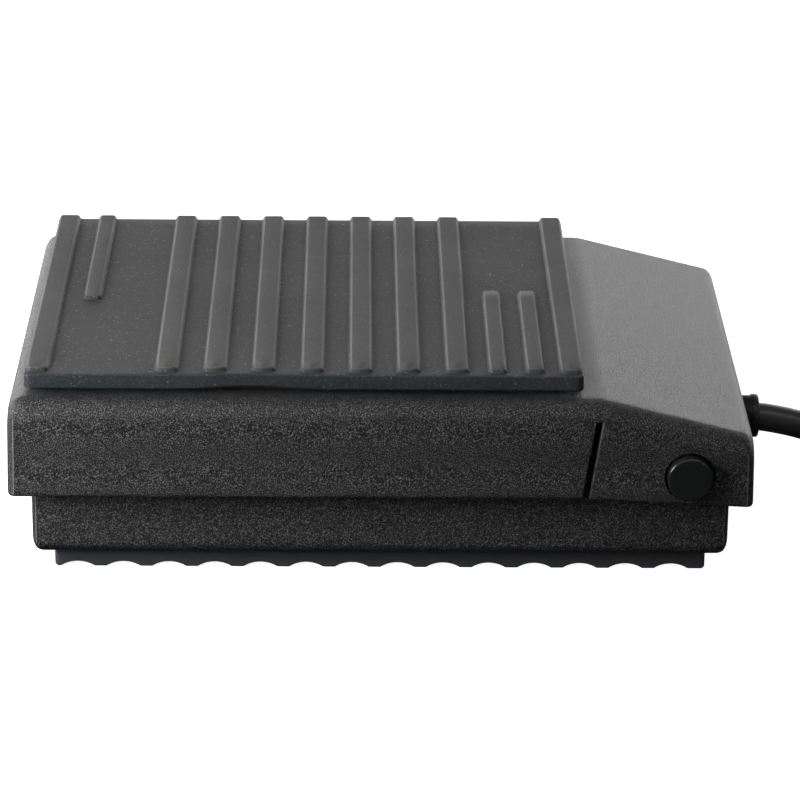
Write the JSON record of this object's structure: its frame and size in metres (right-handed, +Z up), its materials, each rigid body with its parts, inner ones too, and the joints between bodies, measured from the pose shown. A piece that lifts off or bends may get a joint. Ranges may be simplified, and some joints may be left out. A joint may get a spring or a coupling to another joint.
{
  "type": "sustain pedal",
  "caption": "Low hinged keyboard sustain pedal: ribbed rubber tread on a sprung cover over a base tray, with a switch inside and a corded jack plug.",
  "frame": {"origin": "on the floor, under the middle of the pedal body", "axes": "+Z up; +X along the pedal from toe to heel, the way the cord leaves; Y across the pedal"},
  "size_m": [0.1888, 0.0947, 0.0297],
  "materials": {
    "casing_plastic": "fine moulded texture",
    "tread_rubber": "matt, lightly dusty",
    "mat_rubber": "matt",
    "gloss_black": "gloss",
    "spring_steel": "bright drawn wire",
    "switch_plastic": "satin",
    "button_plastic": "satin",
    "leaf_steel": "rolled",
    "contact_brass": "bright",
    "screw_steel": "zinc plated",
    "collar_pvc": "satin",
    "cord_pvc": "soft gloss",
    "wire_red": "satin",
    "wire_black": "satin",
    "grip_pvc": "satin",
    "jack_nickel": "nickel plated",
    "insulator_black": "satin"
  },
  "bodies": {
    "base": {"base_mat": "mat_rubber", "base_tray": "casing_plastic", "return_spring": "spring_steel", "bumper_near": "mat_rubber", "bumper_far": "mat_rubber", "switch_body": "switch_plastic", "terminal_common": "contact_brass", "terminal_open": "contact_brass", "terminal_closed": "contact_brass", "switch_screw_front": "screw_steel", "switch_screw_rear": "screw_steel", "cable_clamp": "casing_plastic", "clamp_screw_near": "screw_steel", "clamp_screw_far": "screw_steel", "strain_relief": "collar_pvc", "cord_inner": "cord_pvc", "wire_signal": "wire_red", "wire_ground": "wire_black", "cord_lead": "cord_pvc", "cord_coil": "cord_pvc", "cord_tail": "cord_pvc", "plug_grip": "grip_pvc", "plug_sleeve": "jack_nickel", "plug_ring": "insulator_black", "plug_tip": "jack_nickel"},
    "pedal": {"cover": "casing_plastic", "tread_pad": "tread_rubber", "pivot_pin_near": "gloss_black", "pivot_pin_far": "gloss_black"},
    "lever": {"switch_lever": "leaf_steel"},
    "plunger": {"switch_plunger": "button_plastic"}
  },
  "joints": [
    {"name": "pedal_hinge", "type": "hinge", "parent": "base", "child": "pedal", "pos_m": [0.0413, 0, 0.01595], "axis": [0, -1, 0], "range_deg": [0, 4.5], "stiffness_Nm_per_rad": 6.5, "springref_deg": -2.98, "deforming": ["return_spring"]},
    {"name": "lever_hinge", "type": "hinge", "parent": "base", "child": "lever", "pos_m": [0.0176, 0.0135, 0.0192], "axis": [0, -1, 0], "range_deg": [0, 11]},
    {"name": "plunger_slide", "type": "slide", "parent": "base", "child": "plunger", "axis": [0, 0, -1], "range_m": [0, 0.0008]}
  ],
  "couplings": [
    {"joint": "lever_hinge", "follows": "pedal_hinge", "ratio": 2.42},
    {"joint": "plunger_slide", "follows": "pedal_hinge", "m_per_rad": 0.0095}
  ]
}
